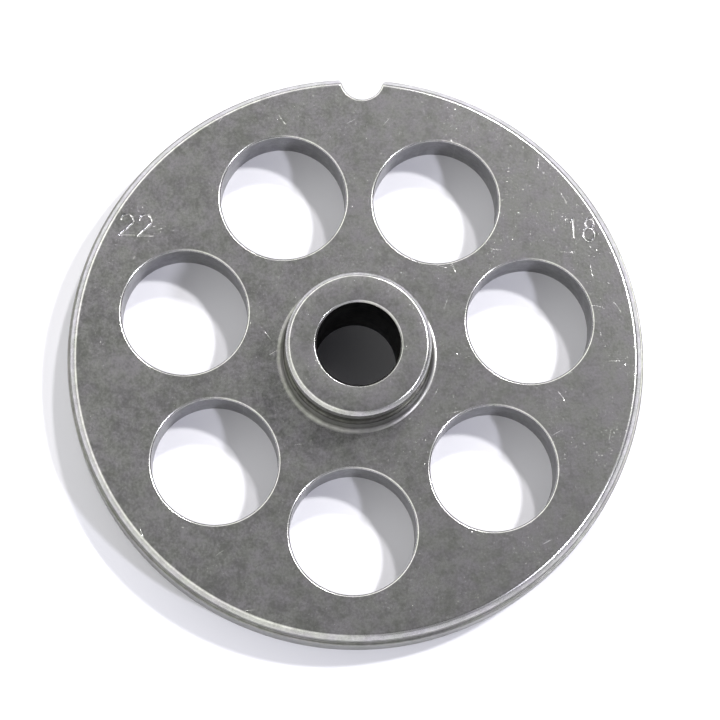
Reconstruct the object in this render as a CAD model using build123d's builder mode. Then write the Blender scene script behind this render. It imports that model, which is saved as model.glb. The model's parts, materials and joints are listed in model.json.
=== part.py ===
from build123d import *
import math
import os

# Meat grinder plate of trade size 22, with a raised hub and seven coarse holes.
# It is one piece of steel: a round casting, turned on a lathe, drilled, notched and tumbled.
# The origin is on the bore's axis at the flat cutting face. +Z runs along the hub, away from
# the knife, and the locating notch points along +Y. All sizes are in millimetres.

# Plate
plate_diameter = 82.5          # lower rim, the part that fills the grinder's head
plate_thickness = 8.0
rim_step = 0.45                # the rim is turned down by this much above the ledge
ledge_height = 5.8             # height of the ledge over the cutting face
rim_chamfer = 0.75
ledge_break = 0.12
cutting_edge_break = 0.25

# Seven coarse holes, one of them straight opposite the notch
hole_count = 7
hole_diameter = 18.0
hole_circle_diameter = 50.6
hole_edge_break = 0.35

# Hub: a foot with a soft root, a turned groove and a collar with a bevelled top
hub_height = 9.0
foot_diameter = 21.2
foot_height = 4.15
root_radius = 0.9
groove_diameter = 20.0
groove_width = 2.2
collar_diameter = 20.6
collar_bevel = 0.55

# Bore, which centres the plate on the end pin of the feed screw
bore_diameter = 11.8
bore_mouth_bevel = 0.3
bore_lower_break = 0.3

# Notch, which takes the key in the grinder's head
notch_radius = 3.15
notch_centre_radius = 40.75
notch_mouth_rounding = 0.6

# Derived radii and heights
plate_radius = plate_diameter / 2
land_radius = plate_radius - rim_step
hole_radius = hole_diameter / 2
hole_circle_radius = hole_circle_diameter / 2
first_hole_angle = -90
foot_radius = foot_diameter / 2
groove_radius = groove_diameter / 2
collar_radius = collar_diameter / 2
bore_radius = bore_diameter / 2
foot_top = plate_thickness + foot_height
collar_base = foot_top + groove_width
hub_top = plate_thickness + hub_height

# Centre of the rounding at the notch's mouth, which touches both the notch and the rim
corner_reach = plate_radius - notch_mouth_rounding
corner_span = notch_radius + notch_mouth_rounding
corner_y = (corner_reach**2 - corner_span**2 + notch_centre_radius**2) / (2 * notch_centre_radius)
corner_x = math.sqrt(corner_reach**2 - corner_y**2)
wall_angle = math.degrees(math.atan2(corner_y - notch_centre_radius, corner_x))
wall_sweep = 90 + wall_angle
corner_turn = 180 + wall_angle - math.degrees(math.atan2(corner_y, corner_x))


def rings(part, radius, height):
    """Return the full circular edges of one radius at one height."""
    circles = part.edges().filter_by(GeomType.CIRCLE)
    level = circles.filter_by_position(Axis.Z, height - 0.01, height + 0.01)
    return level.filter_by(lambda edge: abs(edge.radius - radius) < 0.01)


with BuildPart() as grinder_plate:
    # Turned blank: the plate, its rim step and the hub are one profile spun about the bore
    with BuildSketch(Plane.XZ):
        with BuildLine():
            Polyline(
                (bore_radius, 0),
                (plate_radius, 0),
                (plate_radius, ledge_height),
                (land_radius, ledge_height),
                (land_radius, plate_thickness),
                (foot_radius, plate_thickness),
                (foot_radius, foot_top),
                (groove_radius, foot_top),
                (groove_radius, collar_base),
                (collar_radius, collar_base),
                (collar_radius, hub_top),
                (bore_radius, hub_top),
                close=True,
            )
        make_face()
    revolve(axis=Axis.Z)

    # Root of the hub, rounded into the plate
    fillet(rings(grinder_plate, foot_radius, plate_thickness), radius=root_radius)

    # Bevels of the collar and the bore's two mouths
    chamfer(rings(grinder_plate, collar_radius, hub_top), length=collar_bevel)
    chamfer(rings(grinder_plate, bore_radius, hub_top), length=bore_mouth_bevel)
    chamfer(rings(grinder_plate, bore_radius, 0), length=bore_lower_break)

    # Rim: a bevel on the hub side, and broken edges on the ledge and the cutting face
    chamfer(rings(grinder_plate, land_radius, plate_thickness), length=rim_chamfer)
    chamfer(rings(grinder_plate, plate_radius, ledge_height), length=ledge_break)
    chamfer(rings(grinder_plate, plate_radius, 0), length=cutting_edge_break)

    # Seven holes straight through the plate, sharp on the cutting face where the knife sweeps
    with BuildSketch(Plane.XY) as hole_pattern:
        with PolarLocations(hole_circle_radius, hole_count, start_angle=first_hole_angle):
            Circle(hole_radius)
    extrude(amount=plate_thickness, mode=Mode.SUBTRACT)
    chamfer(rings(grinder_plate, hole_radius, plate_thickness), length=hole_edge_break)

    # Half-round notch through the rim. One half of its outline runs up the notch's wall, round
    # the corner of its mouth and off along the rim's tangent, and the other half mirrors it
    with BuildSketch(Plane.XY) as notch:
        with BuildLine():
            wall = CenterArc((0, notch_centre_radius), notch_radius, -90, wall_sweep)
            corner = JernArc(wall @ 1, wall % 1, notch_mouth_rounding, -corner_turn)
            flank = PolarLine(corner @ 1, length=3, direction=corner % 1)
            Line(flank @ 1, (0, plate_radius + 3))
            mirror(about=Plane.YZ)
        make_face()
    extrude(amount=plate_thickness, mode=Mode.SUBTRACT)

grinder_plate.part.label = "grinder_plate"

os.makedirs("parts", exist_ok=True)
export_step(grinder_plate.part, "parts/grinder_plate.step")
print("volume mm3", round(grinder_plate.part.volume, 1))
print("solids", len(grinder_plate.part.solids()), "faces", len(grinder_plate.part.faces()))
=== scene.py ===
import json
import math

import bmesh
import bpy
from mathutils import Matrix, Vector

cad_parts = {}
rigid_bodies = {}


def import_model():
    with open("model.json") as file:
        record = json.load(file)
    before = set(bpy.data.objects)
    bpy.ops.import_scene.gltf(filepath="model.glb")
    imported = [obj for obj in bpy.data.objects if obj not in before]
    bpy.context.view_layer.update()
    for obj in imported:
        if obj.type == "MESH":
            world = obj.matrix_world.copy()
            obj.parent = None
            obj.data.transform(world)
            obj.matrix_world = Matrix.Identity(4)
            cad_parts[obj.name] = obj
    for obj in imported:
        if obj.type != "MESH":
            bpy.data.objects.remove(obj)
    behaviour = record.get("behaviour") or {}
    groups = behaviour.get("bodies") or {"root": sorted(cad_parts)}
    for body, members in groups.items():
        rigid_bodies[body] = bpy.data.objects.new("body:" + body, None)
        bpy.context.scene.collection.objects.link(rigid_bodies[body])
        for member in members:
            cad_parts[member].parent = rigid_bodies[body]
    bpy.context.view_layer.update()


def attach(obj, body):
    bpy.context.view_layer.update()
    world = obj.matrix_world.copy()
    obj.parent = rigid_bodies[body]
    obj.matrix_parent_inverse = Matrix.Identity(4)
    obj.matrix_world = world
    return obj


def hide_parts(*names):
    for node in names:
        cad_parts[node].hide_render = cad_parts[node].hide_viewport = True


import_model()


# ---------------------------------------------------------------------------------------------
# Turned blank
# One steel casting, turned on a lathe: a flat plate with a stepped and bevelled rim, and a hub
# with a soft foot, a narrow groove and a collar. Tumbling has rounded every edge a little.
# Heights are over the flat cutting face, and all sizes are in millimetres.
MM = 0.001
plate_radius = 41.25
land_radius = 40.8
face_edge_radius = 40.05
cutting_edge_bevel = 0.25
ledge_height = 5.8
face_height = 8.0
rim_bevel = land_radius - face_edge_radius
foot_radius = 10.6
foot_top = 12.15
root_radius = 0.9
groove_radius = 10.0
collar_base = 14.35
collar_radius = 10.3
collar_bevel = 0.55
hub_top = 17.0
bore_radius = 5.9
bore_bevel = 0.3
turning_steps = 360

# How round each edge has been worn
cutting_edge_rounding = 0.12
ledge_edge_rounding = 0.22
ledge_corner_rounding = 0.18
rim_bevel_foot_rounding = 0.35
rim_bevel_top_rounding = 0.7
foot_edge_rounding = 0.5
groove_floor_rounding = 0.08
groove_roof_rounding = 0.1
collar_lip_rounding = 0.15
collar_side_rounding = 0.3
collar_top_rounding = 0.45
bore_mouth_rounding = 0.15
bore_end_rounding = 0.1


def rounded(corners, arc_steps=4):
    """The closed outline through (x, y, rounding) corners, each corner drawn as an arc."""
    points = []
    for index, (x, y, rounding) in enumerate(corners):
        corner = Vector((x, y))
        back = Vector(corners[index - 1][:2]) - corner
        ahead = Vector(corners[(index + 1) % len(corners)][:2]) - corner
        half_angle = back.angle(ahead) / 2
        start = corner + back.normalized() * rounding / math.tan(half_angle)
        inwards = (back.normalized() + ahead.normalized()).normalized()
        centre = corner + inwards * rounding / math.sin(half_angle)
        sweep = math.pi - 2 * half_angle
        turn = math.copysign(sweep, (start - centre).cross(corner - centre))
        arm = start - centre
        steps = max(arc_steps, math.ceil(arc_steps * sweep))
        for step in range(steps + 1):
            angle = turn * step / steps
            points.append(centre + Vector((
                arm.x * math.cos(angle) - arm.y * math.sin(angle),
                arm.x * math.sin(angle) + arm.y * math.cos(angle))))
    return points


def piece_from(mesh, name):
    """A new object in the scene from a finished mesh, with its faces turned outwards."""
    bmesh.ops.recalc_face_normals(mesh, faces=mesh.faces)
    data = bpy.data.meshes.new(name)
    mesh.to_mesh(data)
    mesh.free()
    piece = bpy.data.objects.new(name, data)
    bpy.context.scene.collection.objects.link(piece)
    return piece


def turned(name, profile, steps):
    """A closed piece in metres, made by turning a closed (radius, height) profile about Z."""
    mesh = bmesh.new()
    rings = []
    for step in range(steps):
        angle = 2 * math.pi * step / steps
        ring = []
        for p in profile:
            place = (MM * p.x * math.cos(angle), MM * p.x * math.sin(angle), MM * p.y)
            ring.append(mesh.verts.new(place))
        rings.append(ring)
    for step in range(steps):
        here, there = rings[step], rings[(step + 1) % steps]
        for index in range(len(profile)):
            after = (index + 1) % len(profile)
            mesh.faces.new((here[index], there[index], there[after], here[after]))
    return piece_from(mesh, name)


blank_profile = rounded([
    (bore_radius, bore_bevel, bore_end_rounding),
    (bore_radius + bore_bevel, 0, bore_end_rounding),
    (plate_radius - cutting_edge_bevel, 0, cutting_edge_rounding),
    (plate_radius, cutting_edge_bevel, cutting_edge_rounding),
    (plate_radius, ledge_height, ledge_edge_rounding),
    (land_radius, ledge_height, ledge_corner_rounding),
    (land_radius, face_height - rim_bevel, rim_bevel_foot_rounding),
    (face_edge_radius, face_height, rim_bevel_top_rounding),
    (foot_radius, face_height, root_radius),
    (foot_radius, foot_top, foot_edge_rounding),
    (groove_radius, foot_top, groove_floor_rounding),
    (groove_radius, collar_base, groove_roof_rounding),
    (collar_radius, collar_base, collar_lip_rounding),
    (collar_radius, hub_top - collar_bevel, collar_side_rounding),
    (collar_radius - collar_bevel, hub_top, collar_top_rounding),
    (bore_radius + bore_bevel, hub_top, bore_mouth_rounding),
    (bore_radius, hub_top - bore_bevel, bore_mouth_rounding),
])
plate = turned("tumbled_plate", blank_profile, turning_steps)


# ---------------------------------------------------------------------------------------------
# Drilled holes
# Seven large holes go straight through, sharp on the cutting face and softly broken on the hub
# side. Each is cut by a tool with the hole's own wall and a flared shoulder for the broken edge.
hole_radius = 9.0
hole_circle_radius = 25.3
hole_count = 7
edge_break = 0.35
cutter_steps = 160
cutter_start = -1.0
flare_angle = math.radians(76)
flare_steps = 6


def flared(radius, top, break_radius, past_top):
    """The (radius, height) side of a tool that cuts a wall and rounds its upper edge."""
    side = [Vector((radius, cutter_start))]
    for step in range(flare_steps + 1):
        angle = flare_angle * step / flare_steps
        side.append(Vector((radius + break_radius * (1 - math.cos(angle)),
                            top - break_radius + break_radius * math.sin(angle))))
    last = side[-1]
    widening = past_top / math.tan(math.pi / 2 - flare_angle)
    side.append(Vector((last.x + widening, last.y + past_top)))
    return side


def tool_of_levels(name, levels, ring=False):
    """A closed tool in metres from (x, y, z) outlines in a row. A ring's last meets its first."""
    mesh = bmesh.new()
    loops = [[mesh.verts.new(Vector(point) * MM) for point in level] for level in levels]
    following = loops[1:] + loops[:1] if ring else loops[1:]
    for lower, upper in zip(loops, following):
        for index in range(len(lower)):
            after = (index + 1) % len(lower)
            mesh.faces.new((lower[index], lower[after], upper[after], upper[index]))
    if not ring:
        mesh.faces.new(reversed(loops[0]))
        mesh.faces.new(loops[-1])
    return piece_from(mesh, name)


def circle_outline(centre, radius, height, steps):
    """The points of a level circle, as (x, y, z)."""
    points = []
    for step in range(steps):
        angle = 2 * math.pi * step / steps
        points.append((centre[0] + radius * math.cos(angle),
                       centre[1] + radius * math.sin(angle), height))
    return points


def cut(piece, tools):
    """Cuts the tools out of the piece, keeps the result as its mesh and clears the tools away."""
    tray = bpy.data.collections.new("tools")
    bpy.context.scene.collection.children.link(tray)
    for tool in tools:
        bpy.context.scene.collection.objects.unlink(tool)
        tray.objects.link(tool)
    boolean = piece.modifiers.new("cut", "BOOLEAN")
    boolean.operation = "DIFFERENCE"
    boolean.operand_type = "COLLECTION"
    boolean.collection = tray
    boolean.solver = "MANIFOLD"
    bpy.context.view_layer.update()
    depsgraph = bpy.context.evaluated_depsgraph_get()
    result = bpy.data.meshes.new_from_object(piece.evaluated_get(depsgraph))
    piece.modifiers.clear()
    old = piece.data
    piece.data = result
    bpy.data.meshes.remove(old)
    for tool in list(tray.objects):
        bpy.data.meshes.remove(tool.data)
    bpy.data.collections.remove(tray)


drill_side = flared(hole_radius, face_height, edge_break, past_top=0.3)
drills = []
for number in range(hole_count):
    angle = -math.pi / 2 + 2 * math.pi * number / hole_count
    centre = (hole_circle_radius * math.cos(angle), hole_circle_radius * math.sin(angle))
    levels = [circle_outline(centre, p.x, p.y, cutter_steps) for p in drill_side]
    drills.append(tool_of_levels(f"drill_{number}", levels))
cut(plate, drills)


# ---------------------------------------------------------------------------------------------
# Key notch
# A half-round notch through the rim keeps the plate from turning in the grinder's head. The
# corners of its mouth are worn round, and so is its edge on the hub side.
notch_radius = 2.95
notch_centre = 40.75
notch_mouth_rounding = 1.7
notch_break = 0.4
notch_steps = 32
mouth_steps = 12
overshoot = 3.0

# The mouth's rounding touches the notch's wall at one end and the rim at the other
corner_reach = plate_radius - notch_mouth_rounding
corner_span = notch_radius + notch_mouth_rounding
corner_y = (corner_reach ** 2 - corner_span ** 2 + notch_centre ** 2) / (2 * notch_centre)
corner_x = math.sqrt(corner_reach ** 2 - corner_y ** 2)
wall_angle = math.atan2(corner_y - notch_centre, corner_x)
rim_angle = math.atan2(corner_y, corner_x)


def notch_outline(widening, height):
    """The notch's outline at one height, widened into the metal by so much, out past the rim."""
    right = []
    wall_reach = notch_radius + widening
    for step in range(notch_steps + 1):
        angle = -math.pi / 2 + (math.pi / 2 + wall_angle) * step / notch_steps
        right.append((wall_reach * math.cos(angle),
                      notch_centre + wall_reach * math.sin(angle), height))
    mouth_reach = notch_mouth_rounding - widening
    for step in range(1, mouth_steps + 1):
        angle = math.pi + wall_angle - (math.pi + wall_angle - rim_angle) * step / mouth_steps
        right.append((corner_x + mouth_reach * math.cos(angle),
                      corner_y + mouth_reach * math.sin(angle), height))
    last_x, last_y, _ = right[-1]
    past_x = last_x + overshoot * math.sin(rim_angle)
    right.append((past_x, last_y - overshoot * math.cos(rim_angle), height))
    right.append((past_x, plate_radius + overshoot + 1, height))
    left = [(-x, y, z) for x, y, z in reversed(right[1:])]
    return right + left


notch_side = flared(0, face_height, notch_break, past_top=0.2)
cut(plate, [tool_of_levels("notch_mill", [notch_outline(p.x, p.y) for p in notch_side])])


# ---------------------------------------------------------------------------------------------
# Stamped numbers
# Plain digits are struck into the hub side near the rim: 22 for the trade size on the left and
# 18 for the hole size on the right. Each stroke is a round-bottomed groove with round ends.
stroke_width = 0.4
stroke_depth = 0.14
stroke_tool_radius = (stroke_width ** 2 / 4 + stroke_depth ** 2) / (2 * stroke_depth)
stroke_tool_sides = 16
stroke_end_angles = (30, 55, 80)


def stroke_tool(name, path, closed=False):
    """A round bar along a path of (x, y) points over the plate's face, with round ends."""
    height = face_height + stroke_tool_radius - stroke_depth
    points = [Vector((x, y, height)) for x, y in path]
    count = len(points)
    rings = []
    for index, point in enumerate(points):
        before = points[index - 1] if closed or index > 0 else point
        after = points[(index + 1) % count] if closed or index < count - 1 else point
        rings.append((point, (after - before).normalized(), stroke_tool_radius))
    if not closed:
        start, start_along, _ = rings[0]
        end, end_along, _ = rings[-1]
        for degrees in stroke_end_angles:
            reach = stroke_tool_radius * math.sin(math.radians(degrees))
            radius = stroke_tool_radius * math.cos(math.radians(degrees))
            rings.insert(0, (start - start_along * reach, start_along, radius))
            rings.append((end + end_along * reach, end_along, radius))
    levels = []
    for point, along, radius in rings:
        side = Vector((along.y, -along.x, 0))
        level = []
        for step in range(stroke_tool_sides):
            angle = 2 * math.pi * step / stroke_tool_sides
            rise = Vector((0, 0, radius * math.sin(angle)))
            level.append(tuple(point + side * radius * math.cos(angle) + rise))
        levels.append(level)
    return tool_of_levels(name, levels, ring=closed)


def arc(centre, radii, start, end, steps):
    """Points along an ellipse's arc, from one angle to another in degrees."""
    points = []
    for step in range(steps + 1):
        angle = math.radians(start + (end - start) * step / steps)
        points.append((centre[0] + radii[0] * math.cos(angle),
                       centre[1] + radii[1] * math.sin(angle)))
    return points


def struck_two(x, y):
    """The strokes of a 2 whose foot starts at (x, y): the crown with the slope, and the foot."""
    crown = arc((x + 1.1, y + 2.2), (0.88, 0.92), 172, -32, 18)
    slope = [(x + 0.93, y + 0.86), (x + 0.1, y + 0.06)]
    foot = [(x + 0.05, y), (x + 2.15, y + 0.02)]
    return [crown + slope, foot]


def struck_one(x, y):
    """The strokes of a 1 that stands on (x, y): the upright and the flag."""
    upright = [(x, y), (x - 0.1, y + 2.75)]
    flag = [(x - 0.12, y + 2.72), (x - 0.5, y + 2.25)]
    return [upright, flag]


def struck_eight(x, y):
    """The two loops of an 8 that stands on (x, y)."""
    upper = arc((x + 0.05, y + 2.7), (0.6, 0.66), 0, 350, 24)
    lower = arc((x, y + 1.05), (0.82, 0.98), 0, 352, 30)
    return [upper, lower]


strokes = struck_two(-34.35, 16.65) + struck_two(-31.7, 16.65) + struck_one(30.9, 18.05)
bars = [stroke_tool(f"stroke_{number}", path) for number, path in enumerate(strokes)]
for number, path in enumerate(struck_eight(33.12, 17.5)):
    bars.append(stroke_tool(f"loop_{number}", path, closed=True))
cut(plate, bars)

plate.data.shade_smooth()
plate.data.set_sharp_from_angle(angle=math.radians(32))
even_shading = plate.modifiers.new("even_shading", "WEIGHTED_NORMAL")
even_shading.keep_sharp = True
even_shading.weight = 80


# ---------------------------------------------------------------------------------------------
# Tumbled steel
# The finish of the flat faces and the hub: bare grey steel, tumbled with media to an uneven
# satin, with soft blotches, nicks crowded in places and a few short scratches all ways.


def effect_group(name, inputs, outputs):
    """An empty shader node group with named float inputs and named outputs."""
    group = bpy.data.node_groups.new(name, "ShaderNodeTree")
    group.interface.new_socket("Place", in_out="INPUT", socket_type="NodeSocketVector")
    for socket_name, value in inputs.items():
        socket = group.interface.new_socket(
            socket_name, in_out="INPUT", socket_type="NodeSocketFloat")
        socket.default_value = value
    for socket_name in outputs:
        group.interface.new_socket(socket_name, in_out="OUTPUT", socket_type="NodeSocketFloat")
    return group, group.nodes.new("NodeGroupInput"), group.nodes.new("NodeGroupOutput")


def feed(tree, socket, value):
    """Sets a socket to a number or a colour, or links it to the socket that is given."""
    if isinstance(value, bpy.types.NodeSocket):
        tree.links.new(value, socket)
    else:
        socket.default_value = value


def calculate(tree, operation, first, second=0.5, clamp=False):
    """A math node whose two inputs are numbers or sockets. Returns its output."""
    node = tree.nodes.new("ShaderNodeMath")
    node.operation = operation
    node.use_clamp = clamp
    feed(tree, node.inputs[0], first)
    feed(tree, node.inputs[1], second)
    return node.outputs["Value"]


def ramped(tree, value, low, high, to_low=0.0, to_high=1.0):
    """A value mapped smoothly from one range to another and held at its ends."""
    node = tree.nodes.new("ShaderNodeMapRange")
    node.interpolation_type = "SMOOTHSTEP"
    node.inputs["From Min"].default_value = low
    node.inputs["From Max"].default_value = high
    node.inputs["To Min"].default_value = to_low
    node.inputs["To Max"].default_value = to_high
    tree.links.new(value, node.inputs["Value"])
    return node.outputs["Result"]


def noise(tree, place, scale, detail=4.0, roughness=0.55, distortion=0.0):
    """A noise texture at a place. Scale is in features per metre."""
    node = tree.nodes.new("ShaderNodeTexNoise")
    node.inputs["Detail"].default_value = detail
    node.inputs["Roughness"].default_value = roughness
    node.inputs["Distortion"].default_value = distortion
    tree.links.new(place, node.inputs["Vector"])
    feed(tree, node.inputs["Scale"], scale)
    return node.outputs["Fac"]


def mixed_colour(tree, factor, first, second, blend="MIX"):
    """A colour mixed from two, each given as red, green and blue or as a socket."""
    node = tree.nodes.new("ShaderNodeMix")
    node.data_type = "RGBA"
    node.blend_type = blend
    feed(tree, node.inputs["Factor"], factor)
    colour_sockets = [socket for socket in node.inputs if socket.type == "RGBA"]
    for socket, colour in zip(colour_sockets, (first, second)):
        feed(tree, socket, (*colour, 1) if isinstance(colour, tuple) else colour)
    return next(socket for socket in node.outputs if socket.type == "RGBA")


# Blotches: clouds a few millimetres wide, a mottle about a millimetre wide and a fine grain,
# summed up as Tone. Tint is a slow drift between a warmer and a cooler grey
blotches, blotch_in, blotch_out = effect_group(
    "blotches", {"Size": 170.0, "Mottle": 800.0, "Grain": 2600.0}, ["Tone", "Tint", "Height"])
blotch_place = blotch_in.outputs["Place"]
clouds = noise(blotches, blotch_place, blotch_in.outputs["Size"], 5, 0.6, 0.3)
mottle = noise(blotches, blotch_place, blotch_in.outputs["Mottle"], 3, 0.6)
grain = noise(blotches, blotch_place, blotch_in.outputs["Grain"], 3, 0.65)
summed = calculate(blotches, "MULTIPLY", clouds, 0.3)
for layer in (mottle, grain):
    summed = calculate(blotches, "ADD", summed, calculate(blotches, "MULTIPLY", layer, 0.35))
blotches.links.new(summed, blotch_out.inputs["Tone"])
drift = blotches.nodes.new("ShaderNodeVectorMath")
drift.operation = "ADD"
drift.inputs[1].default_value = (0.31, 0.17, 0.05)
blotches.links.new(blotch_place, drift.inputs[0])
tinting = noise(blotches, drift.outputs["Vector"], 330.0, 4, 0.65)
blotches.links.new(ramped(blotches, tinting, 0.35, 0.65), blotch_out.inputs["Tint"])
blotches.links.new(grain, blotch_out.inputs["Height"])

# Nicks: small dents of uneven outline that the tumbling media left, crowded in some patches
nicks, nick_in, nick_out = effect_group(
    "nicks", {"Density": 2300.0, "Share": 0.1, "Patches": 110.0}, ["Mask"])
nick_place = nick_in.outputs["Place"]
ragged = nicks.nodes.new("ShaderNodeTexNoise")
ragged.inputs["Scale"].default_value = 3500
nicks.links.new(nick_place, ragged.inputs["Vector"])
shove = nicks.nodes.new("ShaderNodeVectorMath")
shove.operation = "MULTIPLY_ADD"
shove.inputs[1].default_value = (0.00025, 0.00025, 0.00025)
nicks.links.new(ragged.outputs["Color"], shove.inputs[0])
nicks.links.new(nick_place, shove.inputs[2])
cells = nicks.nodes.new("ShaderNodeTexVoronoi")
nicks.links.new(shove.outputs["Vector"], cells.inputs["Vector"])
nicks.links.new(nick_in.outputs["Density"], cells.inputs["Scale"])
nick_lot = nicks.nodes.new("ShaderNodeSeparateColor")
nicks.links.new(cells.outputs["Color"], nick_lot.inputs["Color"])
patches = noise(nicks, nick_place, nick_in.outputs["Patches"], 3)
crowding = ramped(nicks, patches, 0.45, 0.68, 0.15, 2.2)
local_share = calculate(nicks, "MULTIPLY", nick_in.outputs["Share"], crowding)
chosen = calculate(nicks, "LESS_THAN", nick_lot.outputs["Red"], local_share)
reach_spread = calculate(nicks, "MULTIPLY", nick_lot.outputs["Green"], 0.16)
nick_reach = calculate(nicks, "ADD", reach_spread, 0.08)
remoteness = calculate(nicks, "DIVIDE", cells.outputs["Distance"], nick_reach)
nearness = calculate(nicks, "SUBTRACT", 1.0, remoteness, clamp=True)
depth_spread = calculate(nicks, "MULTIPLY", nick_lot.outputs["Blue"], 0.8)
depth = calculate(nicks, "ADD", depth_spread, 0.2)
nick_shape = calculate(nicks, "MULTIPLY", nearness, chosen)
nicks.links.new(calculate(nicks, "MULTIPLY", nick_shape, depth), nick_out.inputs["Mask"])

# Scratches: each cell of a flat Voronoi pattern may hold one short scratch, turned its own way
scratches, scratch_in, scratch_out = effect_group(
    "scratches", {"Density": 380.0, "Share": 0.3, "Width": 0.00003, "Length": 0.0011}, ["Mask"])
scratch_place = scratch_in.outputs["Place"]
fields = scratches.nodes.new("ShaderNodeTexVoronoi")
fields.voronoi_dimensions = "2D"
scratches.links.new(scratch_place, fields.inputs["Vector"])
scratches.links.new(scratch_in.outputs["Density"], fields.inputs["Scale"])
scratch_lot = scratches.nodes.new("ShaderNodeSeparateColor")
scratches.links.new(fields.outputs["Color"], scratch_lot.inputs["Color"])
away = scratches.nodes.new("ShaderNodeVectorMath")
away.operation = "SUBTRACT"
scratches.links.new(scratch_place, away.inputs[0])
scratches.links.new(fields.outputs["Position"], away.inputs[1])
spun = scratches.nodes.new("ShaderNodeVectorRotate")
spun.rotation_type = "Z_AXIS"
scratches.links.new(away.outputs["Vector"], spun.inputs["Vector"])
spin = calculate(scratches, "MULTIPLY", scratch_lot.outputs["Red"], 2 * math.pi)
scratches.links.new(spin, spun.inputs["Angle"])
lie = scratches.nodes.new("ShaderNodeSeparateXYZ")
scratches.links.new(spun.outputs["Vector"], lie.inputs["Vector"])
off_middle = calculate(scratches, "ABSOLUTE", lie.outputs["X"])
along = calculate(scratches, "DIVIDE", off_middle, scratch_in.outputs["Length"])
along_squared = calculate(scratches, "MULTIPLY", along, along)
bow = calculate(scratches, "MULTIPLY", along_squared, 0.00008)
across = calculate(scratches, "ABSOLUTE", calculate(scratches, "ADD", lie.outputs["Y"], bow))
off_line = calculate(scratches, "DIVIDE", across, scratch_in.outputs["Width"])
line = calculate(scratches, "SUBTRACT", 1.0, off_line, clamp=True)
ends = calculate(scratches, "SUBTRACT", 1.0, along, clamp=True)
drawn = calculate(scratches, "LESS_THAN", scratch_lot.outputs["Green"],
                  scratch_in.outputs["Share"])
scratch_shape = calculate(scratches, "MULTIPLY", line, ends)
scratches.links.new(calculate(scratches, "MULTIPLY", scratch_shape, drawn),
                    scratch_out.inputs["Mask"])


def steel_material(name, dark, light, roughness, bump, nick_share, scratch_share):
    """Bare steel between two greys and two roughnesses, with its own nicks and scratches."""
    material = bpy.data.materials.new(name)
    material.use_nodes = True
    tree = material.node_tree
    tree.nodes.clear()
    output = tree.nodes.new("ShaderNodeOutputMaterial")
    shader = tree.nodes.new("ShaderNodeBsdfPrincipled")
    shader.inputs["Metallic"].default_value = 1.0
    tree.links.new(shader.outputs["BSDF"], output.inputs["Surface"])
    place = tree.nodes.new("ShaderNodeTexCoord").outputs["Object"]
    fine_values = {"Share": nick_share * 0.9, "Density": 3900.0, "Patches": 170.0}
    big_values = {"Share": nick_share * 0.15, "Density": 1200.0, "Patches": 60.0}
    effects = []
    for group, values in ((blotches, {}), (nicks, {"Share": nick_share}), (nicks, fine_values),
                          (nicks, big_values), (scratches, {"Share": scratch_share})):
        node = tree.nodes.new("ShaderNodeGroup")
        node.node_tree = group
        tree.links.new(place, node.inputs["Place"])
        for socket_name, value in values.items():
            node.inputs[socket_name].default_value = value
        effects.append(node)
    cloud, nick, fine_nick, big_nick, scratch = effects

    marks = calculate(tree, "MAXIMUM", nick.outputs["Mask"], big_nick.outputs["Mask"])
    faint_nicks = calculate(tree, "MULTIPLY", fine_nick.outputs["Mask"], 0.7)
    marks = calculate(tree, "MAXIMUM", marks, faint_nicks)
    marks = calculate(tree, "MAXIMUM", marks, scratch.outputs["Mask"])

    tone = ramped(tree, cloud.outputs["Tone"], 0.36, 0.64)
    grey = mixed_colour(tree, tone, dark, light)
    hue = mixed_colour(tree, cloud.outputs["Tint"], (0.985, 1.0, 0.965), (1.01, 0.985, 1.035))
    tinted = mixed_colour(tree, 1.0, grey, hue, blend="MULTIPLY")
    glint = calculate(tree, "MULTIPLY", marks, 0.3)
    marked = mixed_colour(tree, glint, tinted, (0.8, 0.8, 0.8))
    tree.links.new(marked, shader.inputs["Base Color"])

    smooth, dull = roughness
    tree.links.new(ramped(tree, cloud.outputs["Tone"], 0.3, 0.7, dull, smooth),
                   shader.inputs["Roughness"])

    raised = calculate(tree, "MULTIPLY", cloud.outputs["Height"], 0.35)
    sunk = calculate(tree, "MULTIPLY", marks, 0.55)
    relief = tree.nodes.new("ShaderNodeBump")
    relief.inputs["Strength"].default_value = 1.0
    relief.inputs["Distance"].default_value = bump
    tree.links.new(calculate(tree, "SUBTRACT", raised, sunk), relief.inputs["Height"])
    tree.links.new(relief.outputs["Normal"], shader.inputs["Normal"])
    return material


tumbled_steel = steel_material(
    "tumbled_steel", dark=(0.19, 0.193, 0.187), light=(0.47, 0.467, 0.47),
    roughness=(0.19, 0.28), bump=0.00003, nick_share=0.4, scratch_share=0.08)


# ---------------------------------------------------------------------------------------------
# Rubbed edges, turned sides and bore
# The same steel where it has been worked otherwise: bevels and broken edges rubbed bright, the
# rim and the hub's sides duller from the lathe, hole walls smooth from the drill and a darker
# grey. The groove under the collar and the bore's wall carry painted shade, a near-black steel.
rubbed_edge = steel_material(
    "rubbed_edge", dark=(0.42, 0.42, 0.41), light=(0.6, 0.6, 0.59),
    roughness=(0.2, 0.3), bump=0.00002, nick_share=0.05, scratch_share=0.1)
turned_side = steel_material(
    "turned_side", dark=(0.18, 0.182, 0.17), light=(0.28, 0.28, 0.27),
    roughness=(0.36, 0.46), bump=0.000002, nick_share=0.0, scratch_share=0.0)
# Painted shade: a near-black steel for the groove under the collar and the foot's shoulder,
# standing in for the shade that falls there
groove_painted_shade = steel_material(
    "groove_painted_shade", dark=(0.06, 0.06, 0.055), light=(0.11, 0.11, 0.1),
    roughness=(0.4, 0.5), bump=0.00002, nick_share=0.0, scratch_share=0.0)
drilled_wall = steel_material(
    "drilled_wall", dark=(0.17, 0.17, 0.175), light=(0.25, 0.25, 0.255),
    roughness=(0.25, 0.4), bump=0.00002, nick_share=0.03, scratch_share=0.1)
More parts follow.
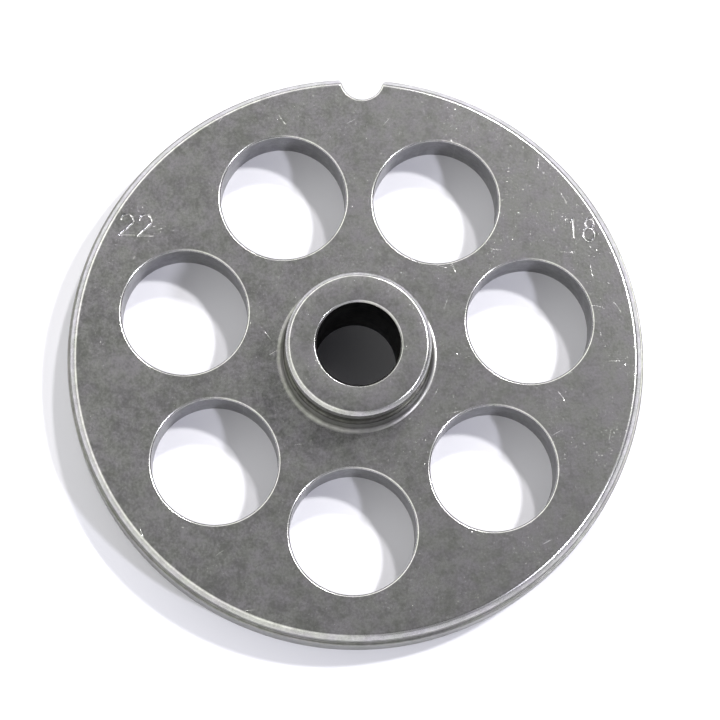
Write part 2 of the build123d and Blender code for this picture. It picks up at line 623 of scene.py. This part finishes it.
# Painted shade: a near-black steel on the bore's wall, standing in for the dark inside the deep
# bore
bore_painted_shade = steel_material(
    "bore_painted_shade", dark=(0.004, 0.004, 0.004), light=(0.01, 0.01, 0.01),
    roughness=(0.4, 0.6), bump=0.00003, nick_share=0.0, scratch_share=0.1)


def finish_or_shade_of(face):
    """The finish or painted shade of one face of the plate, by where it lies and which way it
    looks.
    """
    x, y, z = face.center / MM
    out = math.hypot(x, y)
    levelness = abs(face.normal.z)
    upright = levelness < 0.1
    on_number = abs(x) > 28.5 and 15.2 < y < 22 and out < face_edge_radius - 0.15
    on_foot = groove_radius - 0.3 < out < foot_radius + root_radius + 0.1 and z < collar_base + 0.1
    on_collar_side = collar_radius - 0.05 < out < foot_radius
    if on_number:
        return tumbled_steel
    if out > land_radius - 0.05 and z < ledge_height + 0.3:
        return turned_side
    # The bore's wall gets the painted shade
    if upright and out < bore_radius + 0.1:
        return bore_painted_shade
    # The groove and the foot's shoulder under the collar get the painted shade
    if on_foot and z > foot_top - 0.45:
        return groove_painted_shade
    if on_foot and z > face_height + 0.02:
        return turned_side
    if levelness < 0.8 and (out > land_radius - 0.1 or on_collar_side):
        return turned_side
    if upright and foot_radius + root_radius < out < face_edge_radius - 3:
        return drilled_wall
    if 0.1 <= levelness < 0.985 and not on_foot:
        return rubbed_edge
    return tumbled_steel


finishes_and_shades = [tumbled_steel, rubbed_edge, drilled_wall, bore_painted_shade, turned_side, groove_painted_shade]
plate.data.materials.clear()
for finish in finishes_and_shades:
    plate.data.materials.append(finish)
for face in plate.data.polygons:
    face.material_index = finishes_and_shades.index(finish_or_shade_of(face))

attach(plate, "root")
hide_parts("grinder_plate")


# ---------------------------------------------------------------------------------------------
# Floor, lights and camera
# The plate lies on its cutting face on a plain white sheet in a pale light tent. Three small
# lamps from the right throw the shadows in its holes. It is seen from almost straight above.
floor_half = 0.6
floor_corners = [(-floor_half, -floor_half, 0), (floor_half, -floor_half, 0),
                 (floor_half, floor_half, 0), (-floor_half, floor_half, 0)]
floor_mesh = bpy.data.meshes.new("floor")
floor_mesh.from_pydata(floor_corners, [], [(0, 1, 2, 3)])
floor = bpy.data.objects.new("floor", floor_mesh)
bpy.context.scene.collection.objects.link(floor)
white_sheet = bpy.data.materials.new("white_sheet")
white_sheet.use_nodes = True
sheet = white_sheet.node_tree.nodes["Principled BSDF"]
sheet.inputs["Base Color"].default_value = (0.73, 0.73, 0.78, 1)
sheet.inputs["Roughness"].default_value = 0.9
floor_mesh.materials.append(white_sheet)

lamp_distance = 1.6
lamp_size = 0.1


def small_lamp(name, azimuth, elevation, power, colour):
    """A small square area light that shines at the plate from a compass angle and a height."""
    data = bpy.data.lights.new(name, "AREA")
    data.size = lamp_size
    data.energy = power
    data.color = colour
    lamp = bpy.data.objects.new(name, data)
    a, e = math.radians(azimuth), math.radians(elevation)
    towards = Vector((math.cos(a) * math.cos(e), math.sin(a) * math.cos(e), math.sin(e)))
    lamp.location = towards * lamp_distance
    lamp.rotation_euler = lamp.location.to_track_quat("Z", "Y").to_euler()
    bpy.context.scene.collection.objects.link(lamp)


small_lamp("key", azimuth=33, elevation=55, power=19.0, colour=(1.0, 0.99, 0.97))
small_lamp("side", azimuth=64, elevation=52, power=12.0, colour=(1.0, 0.98, 0.96))
small_lamp("low", azimuth=-27, elevation=42, power=12.0, colour=(0.92, 0.92, 1.0))

# The tent's walls are bright low down in front and dark behind and on the right. Its roof is
# dim straight overhead, brighter towards the left and a little brighter towards the back
tent = bpy.data.worlds.new("tent")
tent.use_nodes = True
sky = tent.node_tree
direction = sky.nodes.new("ShaderNodeTexCoord")
aim = sky.nodes.new("ShaderNodeSeparateXYZ")
sky.links.new(direction.outputs["Generated"], aim.inputs["Vector"])
leftness = calculate(sky, "MULTIPLY", aim.outputs["X"], -0.35)
nearness_to_front = calculate(sky, "MULTIPLY", aim.outputs["Y"], -0.75)
frontness = calculate(sky, "ADD", leftness, nearness_to_front)
walls = ramped(sky, frontness, -0.3, 0.8, 0.12, 1.0)
from_top = ramped(sky, aim.outputs["Z"], 0.72, 0.97, 0.95, 0.3)
from_left = ramped(sky, aim.outputs["X"], -0.28, 0.3, 1.9, 0.32)
from_back = ramped(sky, aim.outputs["Y"], 0.05, 0.4, 0.98, 1.3)
roof = calculate(sky, "MULTIPLY", calculate(sky, "MULTIPLY", from_top, from_left), from_back)
strength = sky.nodes.new("ShaderNodeMix")
sky.links.new(ramped(sky, aim.outputs["Z"], 0.15, 0.5), strength.inputs["Factor"])
sky.links.new(walls, strength.inputs["A"])
sky.links.new(roof, strength.inputs["B"])
background = sky.nodes["Background"]
sky.links.new(strength.outputs["Result"], background.inputs["Strength"])
rightness = ramped(sky, aim.outputs["X"], -0.2, 0.25)
sky.links.new(mixed_colour(sky, rightness, (1.0, 1.0, 0.96), (0.97, 0.96, 1.04)),
              background.inputs["Color"])
bpy.context.scene.world = tent
bpy.context.scene.view_settings.view_transform = "Standard"

lens = bpy.data.cameras.new("view")
lens.sensor_width = 36
lens.lens = 170.53
lens.clip_start = 0.05
lens.clip_end = 10
camera = bpy.data.objects.new("view", lens)
camera.location = (-0.01384, -0.09193, 0.48498)
camera.rotation_euler = [math.radians(degrees) for degrees in (10.793, -1.928, 1.092)]
bpy.context.scene.collection.objects.link(camera)
bpy.context.scene.camera = camera
